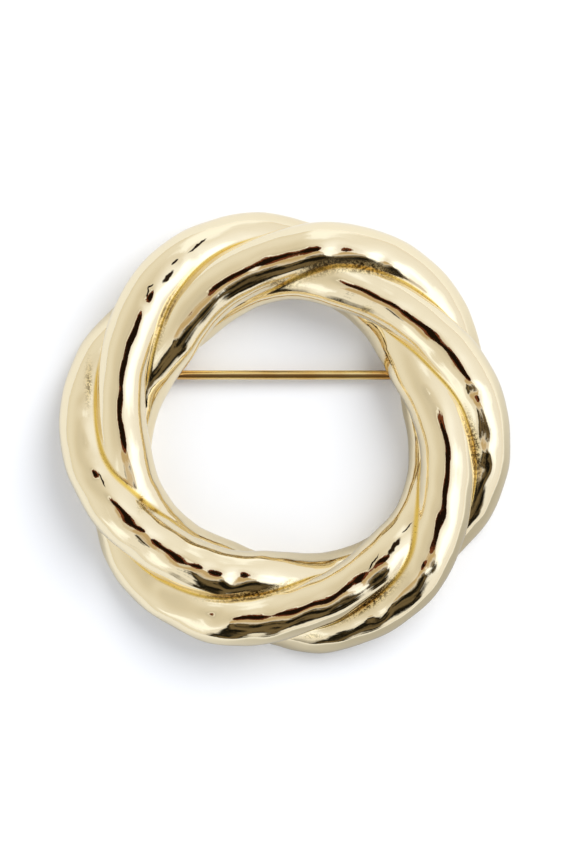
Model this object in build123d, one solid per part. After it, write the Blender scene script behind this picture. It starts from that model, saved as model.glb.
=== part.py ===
from build123d import *
import os
from math import atan2, cos, floor, pi, radians, sin, sqrt
from typing import NamedTuple

# Circle brooch: a cast ring of overlapping strands, hollow at the back, with a hinged pin.
# The origin is the ring's centre on the plane that its rims rest on. +Z is the front,
# +Y is up as worn, and the pin runs along X. All lengths are in millimetres.

# Ring
ring_diameter = 48.0
strand_radius = 2.85
strand_offset = 2.95
core_height = 2.4
cavity_width = 4.4

# Pin
pin_diameter = 1.0
pin_line_y = 6.15
pin_taper_length = 7.4
pin_tip_diameter = 0.3
pin_tip_reach = 1.3
eye_diameter = 2.2
rim_clearance = 0.2

# Hinge
rivet_diameter = 0.9
rivet_head_diameter = 1.5
rivet_head_height = 0.25
rivet_clearance = 0.04
rivet_seat_gap = 0.02
cheek_thickness = 0.5
cheek_clearance = 0.08

# Catch
catch_thickness = 1.2
catch_wall = 0.6
catch_setback = 0.75
catch_clearance = 0.1
mouth_clearance = 0.06

# Notches where the pin passes the inner wall, and how deep the findings root in the casting
hinge_notch_clearance = 0.65
catch_notch_clearance = 0.2
root_depth = 0.3


class Row(NamedTuple):
    """One strand's place and thickness in a section, as shares of the ring's sizes."""

    across: float  # outward from the core, a share of strand_offset
    up: float  # above the core, a share of strand_offset
    girth: float  # a share of strand_radius


# The two kinds of strand take turns round the ring. Each has one row for every 15 degrees,
# from 15 degrees before it shows at the outer edge. It crosses the front, turns down at the
# inner edge and goes back under the core.
lean_strand = (
    Row(0.35, -0.93, 1.00),
    Row(0.51, -0.87, 1.00),
    Row(0.89, -0.32, 1.01),
    Row(1.02, 0.33, 0.98),
    Row(0.86, 0.79, 1.02),
    Row(0.44, 0.94, 1.07),
    Row(0.06, 1.02, 0.96),
    Row(-0.25, 1.02, 0.95),
    Row(-0.42, 0.95, 1.00),
    Row(-0.46, 0.67, 0.96),
    Row(-0.56, 0.20, 0.98),
    Row(-0.74, -0.45, 1.00),
    Row(-0.89, -0.85, 1.00),
    Row(-0.75, -1.05, 1.00),
    Row(-0.35, -1.12, 1.00),
    Row(0.02, -1.05, 1.00),
)
full_strand = (
    Row(0.35, -0.93, 1.00),
    Row(0.51, -0.87, 1.00),
    Row(0.89, -0.30, 1.01),
    Row(1.02, 0.32, 0.98),
    Row(0.86, 0.77, 1.02),
    Row(0.45, 0.96, 1.09),
    Row(-0.01, 0.99, 1.05),
    Row(-0.33, 1.00, 1.03),
    Row(-0.65, 0.93, 1.04),
    Row(-0.95, 0.69, 1.00),
    Row(-0.90, 0.16, 0.97),
    Row(-0.62, -0.62, 1.00),
    Row(-0.40, -0.90, 1.00),
    Row(-0.25, -1.05, 1.00),
    Row(-0.05, -1.08, 1.00),
    Row(0.15, -1.02, 1.00),
)
first_notch = -37.1
row_angle = 15
section_angle = 5
seam_angle = 10
strand_angle = 60
strands_cut = 4
repeat_angle = 2 * strand_angle
repeats = 360 // repeat_angle

core_radius = ring_diameter / 2 - strand_radius - strand_offset
cavity_radius = cavity_width / 2
cavity_top = core_height + cavity_radius

# The pin's line crosses the middle of the hollow back at the hinge and near the catch.
pin_line_z = eye_diameter / 2 + rim_clearance
crossing_x = sqrt(core_radius**2 - pin_line_y**2)
hinge_x = -crossing_x
catch_x = crossing_x - catch_setback
catch_near_x = catch_x - catch_thickness / 2
pin_tip_x = catch_x + catch_thickness / 2 + pin_tip_reach
taper_start_x = pin_tip_x - pin_taper_length
pin_radius = pin_diameter / 2
pin_tip_radius = pin_tip_diameter / 2
cheek_inside = pin_radius + cheek_clearance
cheek_outside = cheek_inside + cheek_thickness
seat_radius = rivet_diameter / 2 + rivet_seat_gap


def row_at(table, turn):
    """A strand's row at any angle from its first notch, on a smooth curve through the table."""
    place = turn / row_angle + 1
    row, t = floor(place), place % 1
    near = [table[(row + k) % len(table)] for k in (-1, 0, 1, 2)]
    weights = (
        (-(t**3) + 2 * t**2 - t) / 2,
        (3 * t**3 - 5 * t**2 + 2) / 2,
        (-3 * t**3 + 4 * t**2 + t) / 2,
        (t**3 - t**2) / 2,
    )
    return Row(*(sum(w * value for w, value in zip(weights, column)) for column in zip(*near)))


def strand_circle(table, turn):
    """Centre and radius of one strand in the section plane."""
    share = row_at(table, turn)
    x = core_radius + share.across * strand_offset
    z = core_height + share.up * strand_offset
    return x, z, share.girth * strand_radius


def section_strands(turn):
    """The strands that a section cuts, in clockwise order from the one nearest the outer edge."""
    kinds = (lean_strand, full_strand)
    return [strand_circle(kinds[k % 2], turn - k * strand_angle) for k in range(strands_cut)]


def groove(first, second):
    """The point where two neighbouring strands meet, on the side away from the core."""
    (x1, z1, r1), (x2, z2, r2) = first, second
    dx, dz = x2 - x1, z2 - z1
    span = sqrt(dx**2 + dz**2)
    along = (span**2 + r1**2 - r2**2) / (2 * span)
    rise = sqrt(r1**2 - along**2)
    return x1 + (along * dx - rise * dz) / span, z1 + (along * dz + rise * dx) / span


def strand_arc(plane, strand, start, end):
    """The arc of one strand's surface between its two grooves, over the strand's crest."""
    x, z, radius = strand
    turn_start = atan2(start[1] - z, start[0] - x)
    turn_end = atan2(end[1] - z, end[0] - x)
    if turn_end > turn_start:
        turn_end -= 2 * pi
    middle = (turn_start + turn_end) / 2
    crest = (x + radius * cos(middle), z + radius * sin(middle))
    return Edge.make_three_point_arc(*[plane.from_local_coords(p) for p in (start, crest, end)])


def section_wire(turn):
    """The closed outline of the strands, in the upright plane at one angle from the first notch."""
    heading = radians(first_notch + turn)
    plane = Plane(
        origin=(0, 0, 0),
        x_dir=(cos(heading), sin(heading), 0),
        z_dir=(sin(heading), -cos(heading), 0),
    )
    strands = section_strands(turn)
    grooves = [groove(strands[k - 1], strands[k]) for k in range(strands_cut)]
    return Wire([
        strand_arc(plane, strands[k], grooves[k], grooves[(k + 1) % strands_cut])
        for k in range(strands_cut)
    ])


def twisted_rope():
    """The whole rope of strands: one lofted third of the ring, repeated round its axis."""
    turns = range(seam_angle, seam_angle + repeat_angle + 1, section_angle)
    third = Shell.make_loft([section_wire(turn) for turn in turns])
    faces = [face.rotate(Axis.Z, k * repeat_angle) for k in range(repeats) for face in third.faces()]
    return Solid(Shell(faces))


def hollow_back():
    """The arched trench that hollows the ring from behind."""
    section = Plane.XZ * Pos(core_radius, 0) * (
        Rectangle(cavity_width, core_height, align=(Align.CENTER, Align.MIN))
        + Pos(0, core_height) * Circle(cavity_radius)
    )
    return revolve(section, Axis.Z)


def pin_notch(side, clearance):
    """The open notch that lets the pin through the inner wall, on the left (-1) or right (+1)."""
    width = pin_diameter + 2 * clearance
    inner_edge = crossing_x - 2 * strand_offset - strand_radius
    length = crossing_x - pin_radius - inner_edge
    across = Align.MIN if side > 0 else Align.MAX
    passage = Box(length, width, pin_line_z, align=(across, Align.CENTER, Align.MIN))
    crown = Rot(0, side * 90, 0) * Cylinder(width / 2, length, align=(Align.CENTER, Align.CENTER, Align.MIN))
    return Pos(side * inner_edge, pin_line_y, 0) * (passage + Pos(0, 0, pin_line_z) * crown)


def hinge_cheeks():
    """Two plates that stand in the hollow on either side of the pin's eye."""
    height = cavity_top + root_depth - pin_line_z
    plate = Box(eye_diameter, cheek_thickness, height, align=(Align.CENTER, Align.CENTER, Align.MIN))
    plate += Rot(90, 0, 0) * Cylinder(eye_diameter / 2, cheek_thickness)
    middle = (cheek_inside + cheek_outside) / 2
    return [Pos(hinge_x, pin_line_y + side * middle, pin_line_z) * plate for side in (-1, 1)]


def stem_radius(x):
    """Radius of the pin's wire at one place along it."""
    if x <= taper_start_x:
        return pin_radius
    return pin_radius + (pin_tip_radius - pin_radius) * (x - taper_start_x) / pin_taper_length


def catch():
    """A plain lug with a keyhole slot, open at the back, that the pin's end lies in."""
    held_radius = stem_radius(catch_near_x)
    bore = held_radius + catch_clearance
    outer = bore + catch_wall
    height = cavity_top + root_depth - pin_line_z
    profile = Circle(outer) + Rectangle(2 * outer, height, align=(Align.CENTER, Align.MIN))
    mouth = Rectangle(2 * (held_radius + mouth_clearance), 2 * outer, align=(Align.CENTER, Align.MAX))
    profile = profile - Circle(bore) - mouth
    return extrude(Plane.YZ * profile, catch_thickness / 2, both=True).moved(
        Location((catch_x, pin_line_y, pin_line_z)))


def across_pin(radius, length):
    """A cylinder on the hinge's axis."""
    return Pos(hinge_x, pin_line_y, pin_line_z) * Rot(90, 0, 0) * Cylinder(radius, length)


def twisted_ring():
    """The casting with its findings soldered in: rope, flat rims, hollow, notches, hinge and catch."""
    ring = split(twisted_rope(), bisect_by=Plane.XY, keep=Keep.TOP)
    ring = ring - hollow_back() - pin_notch(-1, hinge_notch_clearance)
    ring = ring - pin_notch(1, catch_notch_clearance)
    ring = ring + hinge_cheeks() + catch()
    return ring - across_pin(seat_radius, 2 * cheek_outside)


def hinge_rivet():
    """The headed rivet that is fixed in both cheeks and carries the pin."""
    rivet = across_pin(rivet_diameter / 2, 2 * (cheek_outside + rivet_seat_gap))
    head = Rot(90, 0, 0) * Cylinder(rivet_head_diameter / 2, rivet_head_height)
    middle = cheek_outside + rivet_seat_gap + rivet_head_height / 2
    for side in (-1, 1):
        rivet += Pos(hinge_x, pin_line_y + side * middle, pin_line_z) * head
    return rivet


def pin_stem():
    """The pin: a flat eye round the rivet, a straight wire and a tapered tip."""
    outline = Polyline(
        (hinge_x, 0), (hinge_x, pin_radius), (taper_start_x, pin_radius),
        (pin_tip_x - pin_tip_radius, pin_tip_radius), (pin_tip_x, 0), (hinge_x, 0))
    wire = revolve(make_face(Plane.XZ * outline), Axis.X)
    pin = Pos(0, pin_line_y, pin_line_z) * wire + across_pin(eye_diameter / 2, pin_diameter)
    return pin - across_pin(rivet_diameter / 2 + rivet_clearance, pin_diameter)


os.makedirs("parts", exist_ok=True)
export_step(twisted_ring(), "parts/twisted_ring.step")
export_step(hinge_rivet(), "parts/hinge_rivet.step")
export_step(pin_stem(), "parts/pin_stem.step")
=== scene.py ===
"""Dressed model of a circle brooch: a cast ring of overlapping strands with a hinged pin.

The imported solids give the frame. Lengths inside the classes are millimetres in that frame:
origin at the ring's centre on the plane its rims rest on, +Z the front, +Y up as worn, and
the pin along X. Angles are degrees. Meshes are turned to metres when they are made.
"""

import logging
from dataclasses import dataclass
from enum import Enum
from functools import partial
from typing import Any, Callable, NamedTuple

import bpy
import numpy as np
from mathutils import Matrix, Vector


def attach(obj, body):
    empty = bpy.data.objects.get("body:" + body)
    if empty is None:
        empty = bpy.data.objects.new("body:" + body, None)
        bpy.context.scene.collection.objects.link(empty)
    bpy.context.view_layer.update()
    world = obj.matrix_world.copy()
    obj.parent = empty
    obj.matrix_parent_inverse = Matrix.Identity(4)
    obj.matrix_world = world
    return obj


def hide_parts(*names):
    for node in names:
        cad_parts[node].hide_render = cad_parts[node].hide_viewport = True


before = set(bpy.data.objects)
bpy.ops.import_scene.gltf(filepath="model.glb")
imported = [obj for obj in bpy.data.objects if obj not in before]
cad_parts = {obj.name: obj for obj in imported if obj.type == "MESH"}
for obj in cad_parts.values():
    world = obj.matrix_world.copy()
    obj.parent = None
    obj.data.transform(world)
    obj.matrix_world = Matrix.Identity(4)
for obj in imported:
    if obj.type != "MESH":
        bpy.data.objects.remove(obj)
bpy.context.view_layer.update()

LOG = logging.getLogger("brooch")
METRE = 0.001
BODY_RING = "brooch"
BODY_PIN = "pin"
# the pin's axis, which the hinge, the catch and the notches share
HINGE_X, PIN_Y, PIN_Z = -17.13, 6.15, 1.3
CREASE = 40.0
# settings that many nodes share
EASE = {"interpolation_type": "SMOOTHSTEP"}
COLOUR = {"data_type": "RGBA"}

Array = np.ndarray
Piece = bpy.types.Object
Finish = bpy.types.Material
Socket = bpy.types.NodeSocket
Adder = Callable[..., Socket | None]
Pair = tuple[float, float]
Numbers = tuple[float, ...]


class Strand(Enum):
    """The two kinds of strand that take turns round the ring, by their slots' remainder."""

    LEAN = 0
    FULL = 1


# Across, up and girth of each kind of strand, one row for every 15 degrees of its run from
# 15 degrees before it shows: shares of the strand's offset, offset and radius.
ROW_ANGLE = 15
STRAND_ROWS: dict[Strand, Array] = {
    Strand.LEAN: np.array([
        (0.35, -0.93, 1.00), (0.51, -0.87, 1.00), (0.89, -0.32, 1.01), (1.02, 0.33, 0.98),
        (0.86, 0.79, 1.02), (0.44, 0.94, 1.07), (0.06, 1.02, 0.96), (-0.25, 1.02, 0.95),
        (-0.42, 0.95, 1.00), (-0.46, 0.67, 0.96), (-0.56, 0.20, 0.98), (-0.74, -0.45, 1.00),
        (-0.89, -0.85, 1.00), (-0.75, -1.05, 1.00), (-0.35, -1.12, 1.00), (0.02, -1.05, 1.00)]),
    Strand.FULL: np.array([
        (0.35, -0.93, 1.00), (0.51, -0.87, 1.00), (0.89, -0.30, 1.01), (1.02, 0.32, 0.98),
        (0.86, 0.77, 1.02), (0.45, 0.96, 1.09), (-0.01, 0.99, 1.05), (-0.33, 1.00, 1.03),
        (-0.65, 0.93, 1.04), (-0.95, 0.69, 1.00), (-0.90, 0.16, 0.97), (-0.62, -0.62, 1.00),
        (-0.40, -0.90, 1.00), (-0.25, -1.05, 1.00), (-0.05, -1.08, 1.00), (0.15, -1.02, 1.00)]),
}


def linear(code: str) -> tuple[float, float, float, float]:
    """Linear RGBA of an sRGB colour.

    Each channel c is c / 12.92 up to 0.04045, and ((c + 0.055) / 1.055) ** 2.4 above it.

    Args:
        code: Colour as "#RRGGBB".

    Returns:
        Linear red, green, blue and an alpha of 1.
    """
    raw = [int(code[i:i + 2], 16) / 255 for i in (1, 3, 5)]
    red, green, blue = (c / 12.92 if c <= 0.04045 else ((c + 0.055) / 1.055) ** 2.4 for c in raw)
    return red, green, blue, 1.0


def per_size(size_mm: float) -> float:
    """Texture scale on Object coordinates, in metres, for a feature of a real size."""
    return 1000.0 / size_mm


def add_node(tree: bpy.types.NodeTree, kind: str, *values: Any, output: str | None = None,
             **settings: Any) -> Socket | None:
    """Add one node with its settings, constants and links.

    Args:
        tree: Node tree that gets the node.
        kind: The node's type name without its ShaderNode, and its operation after a dot.
        values: A constant, or an output to link from, for each socket in use in order, or
            one dictionary of them by socket name.
        output: Name of the output to hand back, or None for the first one in use.
        settings: Properties of the node.

    Returns:
        The output, or None where the node has none.
    """
    kind, _, operation = kind.partition(".")
    made = tree.nodes.new("ShaderNode" + kind)
    if operation:
        made.operation = operation
    for key, value in settings.items():
        setattr(made, key, value)
    if values and isinstance(values[0], dict):
        pairs = [(made.inputs[name], value) for name, value in values[0].items()]
    else:
        pairs = list(zip([socket for socket in made.inputs if socket.enabled], values))
    for socket, value in pairs:
        if isinstance(value, Socket):
            tree.links.new(value, socket)
        else:
            socket.default_value = value
    if output:
        return made.outputs[output]
    return next((socket for socket in made.outputs if socket.enabled), None)


def node_adder(owner: Finish | bpy.types.World) -> Adder:
    """Empty the node tree of a material or a world, and give add_node bound to it.

    Args:
        owner: A new material or world.

    Returns:
        The adder of its emptied node tree.
    """
    owner.use_nodes = True
    owner.node_tree.nodes.clear()
    return partial(add_node, owner.node_tree)


def smooth_step(share: Array) -> Array:
    """Ease from 0 to 1: 3 s^2 - 2 s^3 of the share clipped to 0 and 1."""
    s = np.clip(share, 0.0, 1.0)
    return s * s * (3 - 2 * s)


def window(value: Array, start: float, full: float, fading: float, end: float) -> Array:
    """Ease up from start to full, and down again from fading to end."""
    return smooth_step((value - start) / (full - start)) * smooth_step((end - value) / (end - fading))


def short_way(turn: Array) -> Array:
    """The same turn in degrees, from -180 up to 180."""
    return np.mod(turn + 180, 360) - 180


def round_angles(count: int) -> Array:
    """Angles in radians of a number of points spread evenly round a circle."""
    return np.radians(np.arange(count) * 360 / count)


def rounded_rim(reach: Any, low: float, high: float, edge: float) -> list[tuple[Any, float]]:
    """Reach and place of six loops round a rim from low to high, whose edges are rounded.

    Args:
        reach: Reach of the rim.
        low: Place of its lower face.
        high: Place of its upper face.
        edge: How far both edges are rounded.

    Returns:
        Six pairs of reach and place, from the lower face to the upper one.
    """
    corner = ((1.0, 0.0), (0.3, 0.3), (0.0, 1.0))
    return [(reach - back * edge, low + up * edge) for back, up in corner] + [
        (reach - back * edge, high - up * edge) for back, up in corner[::-1]]


def about_rivet(angle: Array, reach: Any, along: Any) -> Array:
    """Points round the rivet's axis, by angle from upright, reach and place along the axis."""
    x, z = HINGE_X + reach * np.sin(angle), PIN_Z + reach * np.cos(angle)
    return np.stack(np.broadcast_arrays(x, PIN_Y + along, z), -1)


def link(name: str, data: Any) -> Piece:
    """Put a new object that shows a mesh, a light or a camera into the scene.

    Args:
        name: The object's name.
        data: Its mesh, camera or light.

    Returns:
        The linked object.
    """
    made = bpy.data.objects.new(name, data)
    bpy.context.scene.collection.objects.link(made)
    return made


def new_object(name: str, points: Array, faces: Array | list[list[int]]) -> Piece:
    """Link a new mesh object made from corners in millimetres and faces.

    Args:
        name: The object's name.
        points: Corners in millimetres.
        faces: Each face's corners by number.

    Returns:
        The linked object.
    """
    mesh = bpy.data.meshes.new(name)
    rows = faces.tolist() if isinstance(faces, Array) else faces
    mesh.from_pydata((points * METRE).tolist(), [], rows)
    return link(name, mesh)


def make_piece(name: str, points: Array, faces: Array | list[list[int]], body: str,
               stands_for: str) -> Piece:
    """Turn points and faces into a smooth-shaded piece that rides on a body.

    Args:
        name: Name of the piece.
        points: Corner positions in millimetres, one row each.
        faces: Triangles as an array of three columns, or faces of any length as a list.
        body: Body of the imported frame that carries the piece.
        stands_for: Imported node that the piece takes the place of.

    Returns:
        The piece, at the origin, with its place in its mesh.
    """
    piece = new_object(name, points, faces)
    piece.data.validate()
    piece.data.update()
    shade(piece)
    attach(piece, body)
    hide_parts(stands_for)
    return piece


def dress(piece: Piece, finish: Finish) -> None:
    """Give a piece its one material.

    Args:
        piece: The piece.
        finish: Its material.
    """
    piece.data.materials.clear()
    piece.data.materials.append(finish)


def shade(piece: Piece, crease: float = CREASE) -> None:
    """Shade a piece smooth, with its edges sharp above an angle in degrees.

    Args:
        piece: The piece.
        crease: Degrees above which an edge stays sharp.
    """
    mesh = piece.data
    mesh.polygons.foreach_set("use_smooth", np.ones(len(mesh.polygons), bool))
    mesh.set_sharp_from_angle(angle=np.radians(crease))


def apply_modifiers(piece: Piece) -> None:
    """Keep the shape that the piece's modifiers give it, and drop the modifiers.

    Args:
        piece: The piece, whose modifiers are used up.
    """
    bpy.context.view_layer.update()
    shaped = piece.evaluated_get(bpy.context.evaluated_depsgraph_get())
    mesh = bpy.data.meshes.new_from_object(shaped)
    mesh.name = piece.name
    old = piece.data
    piece.modifiers.clear()
    piece.data = mesh
    bpy.data.meshes.remove(old)


def combine(piece: Piece, other: Piece, how: str) -> None:
    """Join another object to a piece or cut it out of it, and remove the other.

    Args:
        piece: The piece that is changed.
        other: The piece that is used up.
        how: The boolean's operation.
    """
    step = piece.modifiers.new(other.name, "BOOLEAN")
    step.object, step.operation, step.solver = other, how, "MANIFOLD"
    apply_modifiers(piece)
    bpy.data.objects.remove(other)


def grid_triangles(rows: int, columns: int, shift: int = 0) -> Array:
    """Triangles of a grid that is closed both ways, each cell cut from its high column corner.

    The cell's corners are (i, j), (i+1, j), (i+1, j+1), (i, j+1), and its diagonal runs from
    (i, j+1) to (i+1, j), so a line that loses a column from row to row lies on real edges.

    Args:
        rows: Number of rows.
        columns: Number of points in a row.
        shift: Columns by which the last row's neighbours in the first row are moved on.

    Returns:
        Corner numbers, three columns.
    """
    i, j = np.meshgrid(np.arange(rows), np.arange(columns), indexing="ij")
    jump = np.where(i == rows - 1, shift, 0)
    near, nearer = (i * columns + j), (i * columns + (j + 1) % columns)
    far = ((i + 1) % rows) * columns + (j + jump) % columns
    farther = ((i + 1) % rows) * columns + (j + 1 + jump) % columns
    return np.concatenate([
        np.stack([near, far, nearer], -1).reshape(-1, 3),
        np.stack([far, farther, nearer], -1).reshape(-1, 3)])


def capped_tube(rings: Array) -> tuple[Array, list[list[int]]]:
    """A tube of rings closed at each end by a fan to the end ring's centre.

    Args:
        rings: Points, stations by points round by 3, turning from the second axis's start
            so that the faces of successive stations point outwards.

    Returns:
        Points and faces.
    """
    stations, around, _ = rings.shape
    i, j = np.meshgrid(np.arange(stations - 1), np.arange(around), indexing="ij")
    step = (j + 1) % around
    quads = np.stack([i * around + j, i * around + step, (i + 1) * around + step, (i + 1) * around + j], -1)
    ends = np.stack([rings[0].mean(0), rings[-1].mean(0)])
    points = np.concatenate([rings.reshape(-1, 3), ends])
    first, last = stations * around, stations * around + 1
    k = np.arange(around)
    fan_low = np.stack([(k + 1) % around, k, np.full(around, first)], -1)
    fan_high = np.stack([k, (k + 1) % around, np.full(around, last)], -1) + [
        (stations - 1) * around, (stations - 1) * around, 0]
    return points, quads.reshape(-1, 4).tolist() + fan_low.tolist() + fan_high.tolist()


class PaintedReflection(NamedTuple):
    """A painted reflection, a short dark streak on the front: its middle, its heading and half its length and
    width.
    """

    x: float
    y: float
    heading: float
    half_length: float
    half_width: float


@dataclass(frozen=True)
class PlatedCasting:
    """Gold-tone plating on a polished zinc casting.

    Polishing gives the eye a clear mirror with slight waves. The wheel doesn't reach the
    grooves and the hollow back, which keep the grain of the cast skin and a richer, rougher
    gold with dark pits; in the grooves that richer yellow is also painted light, standing for
    light bounced between the strands. A pair of levels is a noise's value where a thing starts
    and is full.
    """

    name: str = "plated_gold_polished_casting"
    polished: str = "#F7E9C6"
    # richer gold where unpolished; in the grooves also painted light bounced between the strands
    groove: str = "#EDCB66"
    stained: str = "#BE8934"
    pit: str = "#3C2912"
    # colour of the painted reflections of the dark opening overhead
    painted_reflection: str = "#2A1D10"
    polish_roughness: float = 0.045
    groove_roughness: float = 0.34
    cast_roughness: float = 0.42
    pitted_grain: float = 0.6
    grain_mm: float = 0.22
    grain_height_mm: float = 0.04
    pit_mm: float = 0.3
    patch_mm: float = 4.5
    wave_mm: float = 1.6
    wave_height_mm: float = 0.02
    fine_mm: float = 0.6
    fine_height_mm: float = 0.01
    wave_strength: float = 0.5
    patch_levels: Pair = (0.38, 0.62)
    pit_levels: Pair = (0.38, 0.31)
    open_pit_levels: Pair = (0.53, 0.46)
    ragged_mm: float = 0.7
    ragged_levels: Pair = (0.3, 0.7)
    ragged_depth: float = 0.08
    painted_reflection_edge: Pair = (1.2, 0.6)
    front_mm: Pair = (4.5, 5.5)
    painted_reflections: tuple[PaintedReflection, ...] = (
        PaintedReflection(-9.21, 19.72, 38.0, 1.25, 0.13), PaintedReflection(-11.54, 17.96, 40.0, 0.5, 0.12),
        PaintedReflection(-12.24, 16.41, 50.0, 0.9, 0.25), PaintedReflection(-14.1, 15.44, 30.0, 0.38, 0.12),
        PaintedReflection(-14.43, 14.82, 79.0, 0.6, 0.1), PaintedReflection(11.5, -11.98, 52.8, 1.15, 0.25),
        PaintedReflection(12.9, -9.96, 45.0, 0.77, 0.08), PaintedReflection(9.36, -13.58, 60.5, 1.0, 0.09),
        PaintedReflection(-19.2, -4.91, -66.0, 0.9, 0.1))

    def painted_reflection_share(self, add: Adder, place: Socket) -> Socket:
        """Share of the painted reflections: dark ovals with ragged sides, on the front alone.

        Args:
            add: add_node for the material's tree.
            place: Object coordinates.

        Returns:
            1 inside a painted reflection, where (along / half length)^2 + (across / half width)^2 is small.
        """
        noise = add("TexNoise", place, per_size(self.ragged_mm), 1.0)
        ragged = add("MapRange", noise, *self.ragged_levels, -self.ragged_depth, self.ragged_depth)
        share: Any = 0.0
        for painted_reflection in self.painted_reflections:
            c, s = np.cos(np.radians(painted_reflection.heading)), np.sin(np.radians(painted_reflection.heading))
            aside = add("VectorMath.SUBTRACT", place, (painted_reflection.x * METRE, painted_reflection.y * METRE, 0.0))
            along, across = (
                add("VectorMath.DOT_PRODUCT", aside, (dx * per_size(half), dy * per_size(half), 0.0))
                for dx, dy, half in ((c, s, painted_reflection.half_length), (-s, c, painted_reflection.half_width)))
            rough = add("Math.MULTIPLY", ragged, 1 / painted_reflection.half_width)
            across = add("Math.ADD", across, rough)
            along, across = (add("Math.MULTIPLY", run, run) for run in (along, across))
            inside = add("MapRange", add("Math.ADD", along, across), *self.painted_reflection_edge)
            share = add("Math.MAXIMUM", share, inside)
        height = add("SeparateXYZ", place, output="Z")
        front = add("MapRange", height, *(edge * METRE for edge in self.front_mm))
        return add("Math.MULTIPLY", share, front)

    def build(self) -> Finish:
        """Make the material, which reads the groove, cast and pitted shares on the mesh.

        Returns:
            The material.
        """
        material = bpy.data.materials.new(self.name)
        add = node_adder(material)
        place = add("TexCoord", output="Object")
        groove, cast, pitted = (add("Attribute", attribute_name=label, output="Fac")
                                for label in ("groove", "cast_skin", "pitted"))
        # cast grain: grit of about 0.2 mm, drawn a little coarser than real so that it shows
        grain = add("TexNoise", place, per_size(self.grain_mm), 3.0, 0.65)
        # patches, some millimetres long, where the groove kept more or fewer pits
        patchy = add("MapRange", add("TexNoise", place, per_size(self.patch_mm), 2.0), *self.patch_levels)
        pits = add("MapRange", grain, *self.pit_levels)
        pits = add("Math.MULTIPLY", pits, add("Math.MULTIPLY", groove, patchy))
        # pitted places: the darkest half of a coarser grain is open pits
        coarse = add("TexNoise", place, per_size(self.pit_mm), 2.0, 0.7)
        coarse = add("MapRange", coarse, *self.open_pit_levels)
        dark = add("Math.MAXIMUM", pits, add("Math.MULTIPLY", coarse, pitted))
        # the gold is richer where it wasn't polished, and stained where pits fill a groove; in the
        # grooves the richer yellow is also painted light bounced between the strands
        unpolished_and_bounce = add("Math.MAXIMUM", add("Math.MAXIMUM", groove, cast),
                         add("Math.MULTIPLY", pitted, self.pitted_grain))
        stain = add("Math.MULTIPLY", pitted, groove)
        gold = add("Mix", unpolished_and_bounce, linear(self.polished), linear(self.groove), **COLOUR)
        gold = add("Mix", stain, gold, linear(self.stained), **COLOUR)
        colour = add("Mix", dark, gold, linear(self.pit), **COLOUR)
        # painted reflections: short dark streaks on the front, standing for the dark opening overhead
        # mirrored in the strands' crests
        colour = add("Mix", self.painted_reflection_share(add, place), colour, linear(self.painted_reflection), **COLOUR)
        worn = add("Math.MAXIMUM", groove, pitted)
        shine = add("MapRange", worn, 0.0, 1.0, self.polish_roughness, self.groove_roughness)
        rough = add("MapRange", cast, 0.0, 1.0, shine, self.cast_roughness)
        # the wheel leaves very shallow waves in the mirror, of a millimetre or two and finer
        normal = add("Bump", {
            "Height": add("TexNoise", place, per_size(self.wave_mm), 1.0), "Strength": self.wave_strength,
            "Distance": self.wave_height_mm * METRE})
        normal = add("Bump", {
            "Height": add("TexNoise", place, per_size(self.fine_mm), 2.0), "Strength": self.wave_strength,
            "Distance": self.fine_height_mm * METRE, "Normal": normal})
        normal = add("Bump", {
            "Height": grain, "Strength": unpolished_and_bounce, "Distance": self.grain_height_mm * METRE,
            "Normal": normal})
        surface = add("BsdfPrincipled", {
            "Base Color": colour, "Metallic": 1.0, "Roughness": rough, "Normal": normal})
        add("OutputMaterial", surface)
        return material


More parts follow.
